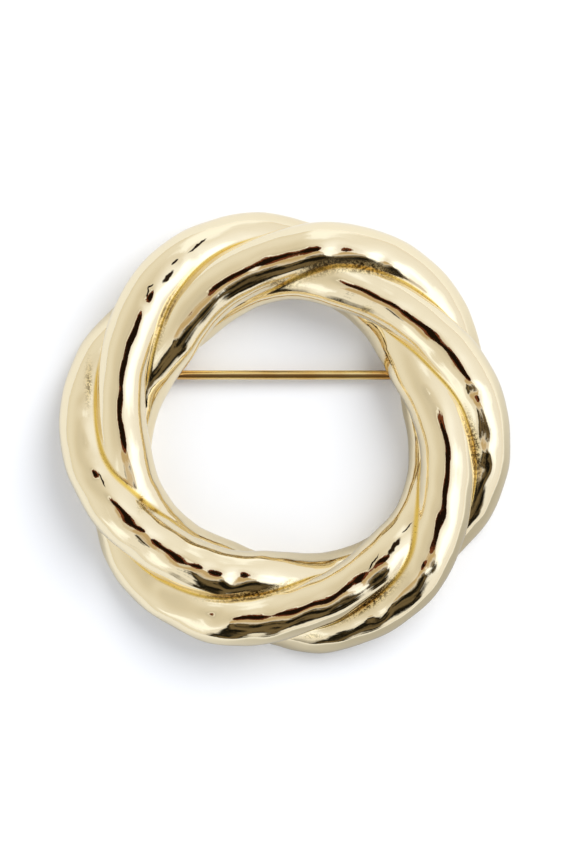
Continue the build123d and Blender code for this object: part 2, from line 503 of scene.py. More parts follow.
@dataclass(frozen=True)
class DrawnWire:
    """Gold-plated brass, drawn through a die or turned on a lathe.

    The eye sees a fairly sharp shine with faint lines along the way the tool ran.
    """

    name: str
    gold: str = "#F0DCA2"
    worn: str = "#DEB872"
    # colour of the painted shade and reflection from the ring near the pin's ends
    ring_shade: str = "#C07A3A"
    ring_shade_mm: Pair = (8.5, 13.5)
    ring_shade_share: float = 0.8
    roughness: float = 0.09
    roughness_spread: Pair = (0.7, 1.5)
    line_mm: float = 0.12
    line_height_mm: float = 0.004
    line_strength: float = 0.4
    run: tuple[float, float, float] = (0.05, 1.0, 1.0)
    stain_mm: float = 5.0
    stain_levels: Pair = (0.35, 0.7)
    # colour of the painted reflection of the tent's dark near side
    reflected_stripe: str = "#6A431D"
    reflected_stripe_mm: Pair = (5.93, 6.15)
    reflected_stripe_blur_mm: Pair = (0.04, 0.03)
    reflected_stripe_share: float = 0.0

    def build(self) -> Finish:
        """Make the material: noise stretched along the tool's run turns colour and gloss.

        Returns:
            The material.
        """
        material = bpy.data.materials.new(self.name)
        add = node_adder(material)
        place = add("TexCoord", output="Object")
        x, y, _ = add("SeparateXYZ", place).node.outputs
        along = add("Mapping", {"Vector": place, "Scale": self.run})
        lines = add("TexNoise", along, per_size(self.line_mm), 2.0)
        stain = add("MapRange", add("TexNoise", place, per_size(self.stain_mm), 2.0), *self.stain_levels)
        colour = add("Mix", stain, linear(self.gold), linear(self.worn), **COLOUR)
        # painted shade: the wire browns towards both ends, where it meets the ring, standing for the
        # ring's shade and reflection on it
        away = add("Math.ABSOLUTE", x)
        in_ring_shade = add("MapRange", away, *(reach * METRE for reach in self.ring_shade_mm), 0.0, self.ring_shade_share)
        colour = add("Mix", in_ring_shade, colour, linear(self.ring_shade), **COLOUR)
        # painted reflection: one dark brown line along the wire, a little below its crest, standing
        # for the tent's dark near side mirrored in it
        low, high = (edge * METRE for edge in self.reflected_stripe_mm)
        low_blur, high_blur = (blur * METRE for blur in self.reflected_stripe_blur_mm)
        above = add("MapRange", y, low - low_blur, low + low_blur)
        below = add("MapRange", y, high + high_blur, high - high_blur, 0.0, self.reflected_stripe_share)
        inside = add("Math.MULTIPLY", above, below)
        colour = add("Mix", inside, colour, linear(self.reflected_stripe), **COLOUR)
        rough = add("MapRange", lines, 0.0, 1.0, *(self.roughness * part for part in self.roughness_spread))
        normal = add("Bump", {
            "Height": lines, "Strength": self.line_strength, "Distance": self.line_height_mm * METRE})
        surface = add("BsdfPrincipled", {
            "Base Color": colour, "Metallic": 1.0, "Roughness": rough, "Normal": normal})
        add("OutputMaterial", surface)
        return material


class Flat(NamedTuple):
    """A place on a strand that stands lower than its neighbours, or proud where depth is negative."""

    strand: int  # 0 to 5, in the order of the notches
    at: float  # degrees past the strand's notch
    beside: float  # degrees round the core, outward from its crest
    half_length: float
    depth: float


class Pitting(NamedTuple):
    """A pitted place on the front: its middle, its half sizes and its strength."""

    x: float
    y: float
    half_x: float
    half_y: float
    strength: float
    in_groove: bool  # kept to a groove and beside it


@dataclass
class TwistedRing:
    """The cast ring: strands that wind round a core, flat rims and a hollow back."""

    core_radius: float = 18.2
    core_height: float = 2.4
    strand_offset: float = 2.95
    strand_radius: float = 2.85
    first_notch: float = -37.1
    strands: int = 6
    slots: int = 4
    spacing: int = 60
    lead: float = 30.0
    swap: float = 40.0
    notch_shift: Numbers = (0.0, -2.6, -0.4, -0.4, 1.5, 1.1)
    hollow_inner: float = 16.0
    hollow_outer: float = 20.4
    hollow_spring: float = 2.4
    least_wall: float = 0.3
    wall_slant: float = 2 / 3
    skin_wall: float = 0.25
    hinge_notch_half: float = 1.15
    catch_notch_half: float = 0.7
    notch_reach: Pair = (8.38, 16.63)
    notch_foot: float = -1.0
    notch_points: int = 25
    crease: float = 48.0
    rows: int = 752
    strand_columns: int = 32
    land_columns: int = 3
    bunching: float = 0.62
    groove_start: float = -105.0
    groove_pace: float = 1.5
    # ripples: sizes in mm, and how many mm a degree is along a strand and across it
    along_mm: float = 0.35
    across_mm: float = 0.087
    ripple_depth: Numbers = (0.045, 0.026, 0.012, 0.005, 0.022, 0.009)
    ripple_length: Numbers = (9.5, 6.1, 4.0, 2.6, 3.7, 2.3)
    ripple_slant: Numbers = (24.0, -31.0, 12.0, 38.0, 71.0, -64.0)
    ripple_seed: int = 11
    ripple_sink: float = 0.5
    lively_heading: Numbers = (0.0, 40.0, 90.0, 135.0, 180.0, 215.0, 260.0, 300.0, 330.0)
    lively: Numbers = (0.9, 0.9, 1.0, 0.7, 0.8, 1.9, 2.0, 1.7, 1.2)
    inner_calm: float = 0.45
    inner_ease: float = 0.9
    shown: tuple[float, float, float, float] = (-28.0, -12.0, 190.0, 206.0)
    climb: tuple[float, float, float, float] = (10.0, 22.0, 48.0, 62.0)
    ridge_depth: float = 0.075
    ridge_length: float = 3.9
    ridge_half_width: float = 9.0
    ridge_jitter: Pair = (0.8, 0.9)
    flat_along_mm: float = 0.32
    flat_half_width: float = 10.0
    flats: tuple[Flat, ...] = (
        Flat(0, 70.1, 0.0, 2.2, 0.07), Flat(0, 92.0, 0.0, 3.0, -0.05), Flat(1, 71.1, 0.0, 1.8, 0.04),
        Flat(1, 102.1, 0.0, 2.4, 0.1), Flat(1, 79.1, 13.0, 3.5, 0.08), Flat(1, 113.1, 13.0, 3.0, 0.06),
        Flat(2, 69.6, 0.0, 2.4, 0.04), Flat(3, 67.8, 0.0, 1.2, 0.1), Flat(3, 88.0, 0.0, 2.4, 0.115),
        Flat(3, 108.0, 0.0, 1.2, 0.2), Flat(3, 98.5, -12.0, 4.0, 0.11), Flat(3, 58.0, 0.0, 1.2, -0.05),
        Flat(4, 69.1, 0.0, 1.8, 0.06), Flat(4, 69.1, -13.0, 6.0, 0.08), Flat(4, 97.0, -18.0, 2.0, -0.13),
        Flat(5, 68.7, 0.0, 1.6, 0.06), Flat(5, 42.1, -12.0, 3.6, 0.12), Flat(5, 110.0, 0.0, 2.0, 0.12),
        Flat(5, 46.0, 0.0, 2.6, -0.14))
    pitted_places: tuple[Pitting, ...] = (
        Pitting(-20.7, 5.2, 0.28, 2.0, 0.75, False), Pitting(9.0, 17.8, 4.0, 1.6, 1.0, True),
        Pitting(3.0, 18.2, 4.0, 1.6, 0.9, True), Pitting(8.5, 12.95, 0.6, 0.25, 0.75, False),
        Pitting(-15.1, -7.3, 0.3, 0.8, 0.8, False), Pitting(-13.9, -8.2, 0.5, 0.25, 0.6, False),
        Pitting(20.7, -1.2, 1.6, 4.0, 1.0, True), Pitting(19.2, -11.4, 1.0, 1.6, 1.0, True),
        Pitting(0.6, -15.7, 0.5, 0.25, 0.5, False), Pitting(3.0, -21.5, 0.9, 0.25, 0.5, False),
        Pitting(-3.5, -16.6, 4.0, 1.6, 1.0, True), Pitting(8.5, -17.5, 3.2, 3.2, 1.0, True),
        Pitting(-14.0, 13.0, 3.0, 4.0, 0.5, True), Pitting(-0.3, 15.75, 1.7, 0.45, 0.75, False))
    # how wide a groove is rounded, by its upper strand's turn, and where its finish starts and fills
    groove_turns: Numbers = (-30.0, 0.0, 12.0, 40.0, 60.0, 80.0, 120.0, 210.0)
    groove_width: Numbers = (0.2, 0.22, 0.5, 0.8, 0.65, 0.4, 0.3, 0.3)
    groove_finish: Pair = (1.25, 1.33)
    beside_finish: Pair = (1.9, 0.95)

    def strand_rows(self, kind: Strand, turn: Array) -> Array:
        """Across, up and girth of a strand at any turn.

        A Catmull-Rom curve through the kind's table, whose 16 rows close on themselves.

        Args:
            kind: Which kind of strand.
            turn: Degrees since the strand's notch.

        Returns:
            The turn's shape with a last axis of three.
        """
        table = STRAND_ROWS[kind]
        place = turn / ROW_ANGLE + 1
        row = np.floor(place).astype(int)
        t = place - row
        weights = ((-(t**3) + 2 * t**2 - t) / 2, (3 * t**3 - 5 * t**2 + 2) / 2,
                   (-3 * t**3 + 4 * t**2 + t) / 2, (t**3 - t**2) / 2)
        return sum(w[..., None] * table[(row + k - 1) % len(table)] for k, w in enumerate(weights))

    def strands_at(self, theta: Array) -> dict[str, Array]:
        """Place, girth and turn of the four strands that a section cuts.

        Strand q starts at first_notch + 60 q degrees and lives for 240 degrees, then slot
        -q mod 4 passes to strand q + 4. Each strand's own notch shift is eased in and out
        where it lies under the core.

        Args:
            theta: Headings in degrees.

        Returns:
            turn, raw turn before its shift, strand number, x, z, radius and centre angle,
            each with a last axis of four.
        """
        slot = np.arange(self.slots)
        life = self.slots * self.spacing
        since = theta[..., None] - self.first_notch + self.spacing * slot
        raw = np.mod(since + self.lead, life) - self.lead
        number = np.rint((theta[..., None] - self.first_notch - raw) / self.spacing).astype(int)
        shift = np.asarray(self.notch_shift)
        own = shift[number % self.strands]
        before = smooth_step((raw + self.lead + self.swap / 2) / self.swap)
        after = smooth_step((raw + self.lead - life + self.swap / 2) / self.swap)
        eased = np.where(raw < life / 2 - self.lead,
                         shift[(number - self.slots) % self.strands] * (1 - before) + own * before,
                         own * (1 - after) + shift[(number + self.slots) % self.strands] * after)
        turn = raw - eased
        shares = np.stack([self.strand_rows(Strand(s % 2), turn[..., s]) for s in slot], axis=-2)
        x, z = shares[..., 0] * self.strand_offset, shares[..., 1] * self.strand_offset
        return {"turn": turn, "raw": raw, "number": number, "x": x, "z": z,
                "radius": shares[..., 2] * self.strand_radius, "angle": np.degrees(np.arctan2(z, x))}

    def ripple(self, strands: dict[str, Array], phi: Array) -> Array:
        """Height of each strand's hand-worked ripples at an angle round the core.

        A sum of plane waves over the strand's skin, depth cos(2 pi (l cos s + a sin s) / length
        + phase), with l the run along the strand, a the run across it and a phase of its own
        for each strand. The waves are scaled by how lively the ring is at their heading, and
        are calmer on the inner flank. A climbing strand's crest adds a ridge of short waves,
        ridge depth cos(2 pi l / ridge length + phase), within a bell across the crest. Each
        flat takes away depth exp(-(run / half length)^2 - (side / half width)^2). All of it
        fades out where the strand dives under.

        Args:
            strands: What strands_at gives.
            phi: Angle round the core in degrees, with a last axis of one.

        Returns:
            Heights in millimetres.
        """
        draw = np.random.default_rng(self.ripple_seed)
        phases = draw.uniform(0, 2 * np.pi, (self.strands, len(self.ripple_depth)))
        raw, number = strands["raw"], strands["number"] % self.strands
        heading = raw + self.first_notch + self.spacing * number
        along = self.along_mm * raw
        across = self.across_mm * short_way(phi - strands["angle"])
        height = np.zeros(np.broadcast(along, across).shape)
        waves = zip(self.ripple_depth, self.ripple_length, self.ripple_slant)
        for k, (depth, length, slant) in enumerate(waves):
            run = along * np.cos(np.radians(slant)) + across * np.sin(np.radians(slant))
            height += depth * (np.cos(2 * np.pi * run / length + phases[number, k]) - self.ripple_sink)
        height *= np.interp(heading, self.lively_heading, self.lively, period=360)
        outward = smooth_step((np.cos(np.radians(phi)) + self.inner_ease) / self.inner_ease)
        height *= self.inner_calm + (1 - self.inner_calm) * outward
        crest = np.degrees(np.arctan2(strands["z"] + strands["radius"], strands["x"]))
        ridge = self.ridge_depth * np.exp(-(short_way(phi - crest) / self.ridge_half_width)**2)
        size, pace = self.ridge_jitter
        jitter = size * np.sin(along * pace + phases[number, 1])
        wave = np.cos(2 * np.pi * along / self.ridge_length + phases[number, 0] + jitter)
        height += window(raw, *self.climb) * ridge * wave
        for flat in self.flats:
            run = self.flat_along_mm * (raw - flat.at) / flat.half_length
            side = short_way(phi - crest - flat.beside) / self.flat_half_width
            height -= flat.depth * (number == flat.strand) * np.exp(-run**2 - side**2)
        return height * window(raw, *self.shown)

    def reach(self, theta: Array, phi: Array) -> tuple[Array, Array]:
        """Distance from the core to the ring's skin, and how deep in a groove the skin is.

        A strand's skin is at c.u + sqrt(r^2 - (c x u)^2) along the ray u. The two farthest
        strands blend: farther + max(w - gap, 0)^2 / (4 w), with w the groove's width. The same
        rule, with w the least wall, keeps the skin that far outside the hollow.

        Args:
            theta: Headings in degrees.
            phi: Angles round the core in degrees, of the same shape.

        Returns:
            Distances in millimetres, and the two strands' gap as a share of the groove's width.
        """
        strands = self.strands_at(theta)
        ux, uz = np.cos(np.radians(phi))[..., None], np.sin(np.radians(phi))[..., None]
        off = strands["x"] * uz - strands["z"] * ux
        length = strands["x"] * ux + strands["z"] * uz
        length += np.sqrt(np.maximum(strands["radius"]**2 - off**2, 0.0)) + self.ripple(strands, phi[..., None])
        order = np.argsort(length, axis=-1)
        top = np.take_along_axis(length, order, -1)
        turns = np.take_along_axis(strands["turn"], order, -1)
        width = np.interp(np.minimum(turns[..., 3], turns[..., 2]), self.groove_turns, self.groove_width)
        gap = top[..., 3] - top[..., 2]
        skin = top[..., 3] + np.maximum(width - gap, 0.0)**2 / (4 * width)
        half = (self.hollow_outer - self.hollow_inner) / 2 + self.least_wall
        wall = np.where(uz[..., 0] > 0, half, half / np.maximum(np.abs(ux[..., 0]), self.wall_slant))
        apart = np.abs(skin - wall)
        skin = np.maximum(skin, wall)
        return skin + np.maximum(self.least_wall - apart, 0.0)**2 / (4 * self.least_wall), gap / width

    def column_angles(self, theta: Array) -> Array:
        """Angles round the core of every column, with a column along each groove.

        A groove is where two neighbouring strand circles cross on the side away from the
        core. Columns between two grooves stand closer together near them.

        Args:
            theta: Headings in degrees, one a row.

        Returns:
            Angles in degrees, rows by columns, rising from each slot's outer groove.
        """
        s = self.strands_at(theta)
        x, z, r = s["x"], s["z"], s["radius"]
        dx, dz = np.roll(x, 1, -1) - x, np.roll(z, 1, -1) - z
        span = np.hypot(dx, dz)
        along = (span**2 + r**2 - np.roll(r, 1, -1)**2) / (2 * span)
        rise = np.sqrt(np.maximum(r**2 - along**2, 0.0))
        across, up = x + (along * dx - rise * dz) / span, z + (along * dz + rise * dx) / span
        groove = np.degrees(np.arctan2(up, across))
        guess = self.groove_pace * s["raw"] + self.groove_start
        start = groove + 360 * np.rint((guess - groove) / 360)
        end = np.roll(start, -1, -1)
        end = np.where(end < start, end + 360, end)
        c = np.arange(self.strand_columns) / self.strand_columns
        share = c - self.bunching * np.sin(2 * np.pi * c) / (2 * np.pi)
        return (start[..., None] + (end - start)[..., None] * share).reshape(len(theta), -1)

    def under_side(self, share: Array) -> tuple[Array, Array]:
        """The hollow's section: up the inner wall, over the arch and down the outer wall.

        Args:
            share: Share of the way along it, 0 at the inner wall's foot.

        Returns:
            Distance from the axis and height, in millimetres.
        """
        half = (self.hollow_outer - self.hollow_inner) / 2
        wall, arch = self.hollow_spring, np.pi * half
        run = share * (2 * wall + arch)
        angle = np.pi - np.clip((run - wall) / half, 0.0, np.pi)
        r = self.hollow_inner + half + half * np.cos(angle)
        z = np.minimum(np.minimum(run, 2 * wall + arch - run), wall) + half * np.sin(angle)
        return r, z

    def section_points(self, theta: Array) -> Array:
        """Points of every section: the strands' skin, two flat lands and the hollow.

        On each side the column nearest the rest plane is moved to where the skin crosses it,
        and the columns below take the lands and the hollow.

        Args:
            theta: Headings in degrees, one a row.

        Returns:
            Distance from the axis and height, rows by columns by two.
        """
        phi = self.column_angles(theta)
        count = phi.shape[1]
        skin, _ = self.reach(np.repeat(theta[:, None], count, 1), phi)
        r = self.core_radius + skin * np.cos(np.radians(phi))
        z = self.core_height + skin * np.sin(np.radians(phi))
        first = np.argmin(phi, axis=1)
        order = (first[:, None] + np.arange(count)) % count
        r, z, phi = (np.take_along_axis(a, order, 1) for a in (r, z, phi))
        place = np.arange(count)
        row = np.arange(len(theta))
        below_out = (z < 0) & (phi < 90)
        low = np.where(below_out, place, -1).max(1)
        below_in = (z < 0) & (phi > 90)
        high = np.where(below_in, place, count + 1).min(1)

        def crossing(a: Array, b: Array) -> tuple[Array, Array]:
            """Where the skin meets the rest plane between columns a and b, and the nearer one."""
            share = z[row, a] / (z[row, a] - z[row, b])
            return r[row, a] + share * (r[row, b] - r[row, a]), np.where(share < 0.5, a, b)

        r_out, out = crossing(low, low + 1)
        r_in, inn = crossing(high - 1, high)
        r[row, out], z[row, out] = r_out, 0.0
        r[row, inn], z[row, inn] = r_in, 0.0
        # columns under the ring, counted from the inner rim to the outer one
        under = np.mod(place[None, :] - inn[:, None], count)
        total = np.mod(out - inn, count)[:, None]
        land = self.land_columns
        inner_land = r_in[:, None] + (self.hollow_inner - r_in)[:, None] * under / land
        outer_land = r_out[:, None] + (self.hollow_outer - r_out)[:, None] * (total - under) / land
        arch_r, arch_z = self.under_side(np.clip((under - land) / (total - 2 * land), 0.0, 1.0))
        is_under = (under > 0) & (under < total)
        on_inner, on_outer = under < land, under > total - land
        new_r = np.where(on_inner, inner_land, np.where(on_outer, outer_land, arch_r))
        new_z = np.where(on_inner | on_outer, 0.0, arch_z)
        r = np.where(is_under, new_r, r)
        z = np.where(is_under, new_z, z)
        back = np.empty_like(r), np.empty_like(z)
        for target, source in zip(back, (r, z)):
            np.put_along_axis(target, order, source, 1)
        return np.stack(back, -1)

    def notch_cutter(self) -> Piece:
        """Two arched bars along X, one each side, that cut the pin's way through the inner wall.

        Returns:
            Both bars as one piece.
        """
        turn = np.radians(np.linspace(0, 180, self.notch_points))
        near, far = self.notch_reach
        tubes = []
        for ends, half in (((near, far), self.catch_notch_half), ((-far, -near), self.hinge_notch_half)):
            arch = np.stack([PIN_Y + half * np.cos(turn), PIN_Z + half * np.sin(turn)], -1)
            outline = np.concatenate([
                [[PIN_Y + half, self.notch_foot]], arch, [[PIN_Y - half, self.notch_foot]]])
            tubes.append(capped_tube(np.stack([
                np.column_stack([np.full(len(outline), x), outline]) for x in ends])))
        (some, faces), (more, others) = tubes
        faces = faces + [[corner + len(some) for corner in face] for face in others]
        return new_object("notch_cutter", np.concatenate([some, more]), faces)

    def mark_skin(self, piece: Piece) -> None:
        """Store on each corner its groove share, its cast skin share and its pitted share.

        A pitted place's share is exp(-(dx / half x)^2 - (dy / half y)^2) of its strength.

        Args:
            piece: The casting.
        """
        mesh = piece.data
        points = np.empty(len(mesh.vertices) * 3)
        mesh.vertices.foreach_get("co", points)
        x, y, z = points.reshape(-1, 3).T / METRE
        out, up = np.hypot(x, y) - self.core_radius, z - self.core_height
        skin, gap = self.reach(np.degrees(np.arctan2(y, x)), np.degrees(np.arctan2(up, out)))
        groove, beside = (smooth_step(full - fall * gap)
                          for full, fall in (self.groove_finish, self.beside_finish))
        inside = np.hypot(up, out) < skin - self.skin_wall
        pitted = np.zeros(len(x))
        for spot in self.pitted_places:
            far = ((x - spot.x) / spot.half_x)**2 + ((y - spot.y) / spot.half_y)**2
            place = spot.strength * np.exp(-far) * (beside if spot.in_groove else 1.0)
            pitted = np.maximum(pitted, place)
        for label, share in (("groove", np.where(inside, 0.0, groove)), ("cast_skin", inside),
                             ("pitted", np.where(inside, 0.0, pitted))):
            mesh.attributes.new(label, "FLOAT", "POINT").data.foreach_set("value", share.astype(np.float32))

    def build(self, finish: Finish) -> Piece:
        """Build the ring as one closed surface, cut its two notches and dress it.

        Args:
            finish: Material of the plated casting.

        Returns:
            The ring.
        """
        theta = np.arange(self.rows) * 360 / self.rows
        section = self.section_points(theta)
        c, s = np.cos(np.radians(theta))[:, None], np.sin(np.radians(theta))[:, None]
        points = np.stack([section[..., 0] * c, section[..., 0] * s, section[..., 1]], -1)
        faces = grid_triangles(self.rows, section.shape[1], 2 * self.strand_columns)
        ring = make_piece("twisted_ring_casting", points.reshape(-1, 3), faces, BODY_RING, "twisted_ring")
        combine(ring, self.notch_cutter(), "DIFFERENCE")
        shade(ring, self.crease)
        self.mark_skin(ring)
        dress(ring, finish)
        return ring


@dataclass
class HingeCheeks:
    """Two plates soldered in the hollow that hold the hinge's rivet."""

    radius: float = 1.1
    hole: float = 0.47
    inside: float = 0.58
    thickness: float = 0.5
    top: float = 4.9
    edge: float = 0.07
    around: int = 96

    def plate(self, side: int) -> Array:
        """One plate's skin as a closed grid: outlines round the rivet by the edge's loops.

        The outline's reach at angle a is the radius below the rivet, and above it the
        distance to a rectangle as wide as the plate and as high as its root.

        Args:
            side: -1 or 1, the plate's side of the pin.

        Returns:
            Points, loops across by points round by 3.
        """
        a = round_angles(self.around)
        wide = self.radius / np.maximum(np.abs(np.cos(a)), 1e-6)
        tall = (self.top - PIN_Z) / np.maximum(np.sin(a), 1e-6)
        outline = np.where(np.sin(a) > 0, np.minimum(wide, tall), self.radius)
        low, high = self.inside, self.inside + self.thickness
        loops = [*rounded_rim(outline, low, high, self.edge), (self.hole, high), (self.hole, low)]
        return np.stack([about_rivet(np.pi / 2 - a, reach, side * along) for reach, along in loops])

    def build(self, finish: Finish) -> list[Piece]:
        """Build and dress both plates.

        Args:
            finish: The casting's finish.

        Returns:
            Both cheeks, the lower one first.
        """
        made = []
        for side, label in ((-1, "lower"), (1, "upper")):
            grid = self.plate(side)
            faces = grid_triangles(grid.shape[0], grid.shape[1])
            if side > 0:
                faces = faces[:, ::-1]
            piece = make_piece(f"hinge_cheek_{label}", grid.reshape(-1, 3), faces, BODY_RING, "twisted_ring")
            dress(piece, finish)
            made.append(piece)
        return made


@dataclass
class CatchLug:
    """The lug soldered in the hollow whose open keyhole slot holds the pin's end."""

    centre_x: float = 16.38
    thickness: float = 1.2
    bore: float = 0.368
    outer: float = 0.968
    mouth_half: float = 0.328
    top: float = 4.9
    bevel: float = 0.09
    bevel_above: float = 0.7

    def outline(self) -> Array:
        """The keyhole's outline, counterclockwise from the right root, as Y and Z.

        Returns:
            Points in millimetres across and up from the pin's line.
        """
        tip, inner = (np.degrees(np.arcsin(self.mouth_half / reach)) for reach in (self.outer, self.bore))
        arcs = ((self.outer, 0, tip - 90, 15), (self.bore, inner - 90, 270 - inner, 41),
                (self.outer, -90 - tip, -180, 15))
        turns = [(reach, np.radians(np.linspace(start, end, count))) for reach, start, end, count in arcs]
        curve = [np.stack([reach * np.cos(a), reach * np.sin(a)], -1) for reach, a in turns]
        root = self.top - PIN_Z
        return np.concatenate([[[self.outer, root]], *curve, [[-self.outer, root]]])[::-1]

    def build(self, finish: Finish) -> Piece:
        """Build the lug by drawing its outline along X, round its edges and dress it.

        Args:
            finish: The casting's finish.

        Returns:
            The lug.
        """
        outline = self.outline()
        count = len(outline)
        ends = [self.centre_x - self.thickness / 2, self.centre_x + self.thickness / 2]
        points = np.concatenate([np.column_stack([
            np.full(count, x), PIN_Y + outline[:, 0], PIN_Z + outline[:, 1]]) for x in ends])
        k = np.arange(count)
        sides = np.stack([k, k + count, (k + 1) % count + count, (k + 1) % count], -1)
        faces = sides.tolist() + [k.tolist(), (k[::-1] + count).tolist()]
        piece = make_piece("catch_lug", points, faces, BODY_RING, "twisted_ring")
        edge = piece.modifiers.new("edge", "BEVEL")
        edge.width, edge.segments = self.bevel * METRE, 3
        edge.limit_method, edge.angle_limit = "ANGLE", self.bevel_above
        apply_modifiers(piece)
        shade(piece)
        dress(piece, finish)
        return piece


@dataclass
class HingeRivet:
    """The rivet: a shank through both cheeks and the pin's eye, with a domed head at each end."""

    shank: float = 0.45
    head: float = 0.75
    head_height: float = 0.25
    head_from: float = 1.1
    head_edge: float = 0.04
    edge_share: float = 0.96
    dome_share: float = 0.6
    stations: int = 12
    around: int = 64

    def build(self, finish: Finish) -> Piece:
        """Build the rivet by turning its half profile round its axis, and dress it.

        The head's dome falls from its full height by the dome's share of it times
        1 - sqrt(1 - s^2), with s the share of the head's radius.

        Args:
            finish: The turned brass.

        Returns:
            The rivet.
        """
        s = np.linspace(0.0, np.pi / 2, self.stations)
        reach, under = self.head * np.sin(s), self.head_from
        dome = under + self.head_height * (1 - self.dome_share + self.dome_share * np.cos(s))
        half_r = np.concatenate([
            [self.shank, self.shank, self.head * self.edge_share, self.head], reach[:0:-1]])
        half_y = np.concatenate([[0.0, under, under, under + self.head_edge], dome[:0:-1]])
        r = np.concatenate([half_r[::-1], half_r[1:]])
        y = np.concatenate([-half_y[::-1], half_y[1:]])
        points, faces = capped_tube(about_rivet(round_angles(self.around), r[:, None], y[:, None]))
        piece = make_piece("hinge_rivet_domed", points, faces, BODY_RING, "hinge_rivet")
        dress(piece, finish)
        return piece


@dataclass
class PinStem:
    """The pin: a wire with a tapered tip and a flat eye that turns on the rivet."""

    radius: float = 0.5
    taper_from: float = 10.88
    tip_x: float = 18.28
    tip_radius: float = 0.15
    eye_radius: float = 1.1
    eye_bore: float = 0.49
    eye_edge: float = 0.12
    bore_edge: float = 0.04
    wire_from: float = 0.75
    around: int = 64

    def wire(self) -> Piece:
        """The wire: rings along X whose radius falls in a straight line to the rounded tip.

        Returns:
            The wire without its eye.
        """
        s = np.linspace(0, np.pi / 2, 9)[1:-1]
        taper_to = self.tip_x - self.tip_radius
        x = np.concatenate([
            np.linspace(HINGE_X + self.wire_from, self.taper_from, 60),
            np.linspace(self.taper_from, taper_to, 24)[1:], taper_to + self.tip_radius * np.sin(s)])
        fall = np.clip((x - self.taper_from) / (taper_to - self.taper_from), 0, 1)
        r = self.radius + (self.tip_radius - self.radius) * fall
        r[-len(s):] = self.tip_radius * np.cos(s)
        a = round_angles(self.around)
        rings = np.stack([np.broadcast_to(x[:, None], (len(x), len(a))), PIN_Y + r[:, None] * np.cos(a),
                          PIN_Z + r[:, None] * np.sin(a)], -1)
        points, faces = capped_tube(rings[:, ::-1])
        return make_piece("pin_stem_wire", points, faces, BODY_PIN, "pin_stem")

    def eye(self) -> Piece:
        """The eye: a rounded closed section carried round the rivet's axis.

        Returns:
            The eye without its wire.
        """
        half, bore, edge = self.radius, self.eye_bore, self.bore_edge
        reach, along = np.array([
            (bore + edge, -half), *rounded_rim(self.eye_radius, -half, half, self.eye_edge),
            (bore + edge, half), (bore, half - edge), (bore, edge - half)]).T
        grid = about_rivet(round_angles(self.around)[:, None], reach, along)
        faces = grid_triangles(self.around, len(reach))
        return make_piece("pin_eye", grid.reshape(-1, 3), faces, BODY_PIN, "pin_stem")

    def build(self, finish: Finish) -> Piece:
        """Build the wire and the eye, join them into one skin and dress it.

        Args:
            finish: The drawn wire's finish.

        Returns:
            The whole pin.
        """
        wire = self.wire()
        combine(wire, self.eye(), "UNION")
        shade(wire)
        dress(wire, finish)
        return wire


class Panel(NamedTuple):
    """A patch of the tent: headings on both sides of a centre by tilts, with soft edges."""

    centre: float
    half: float
    low: float
    high: float
    soft: float
    gain: float = 1.0


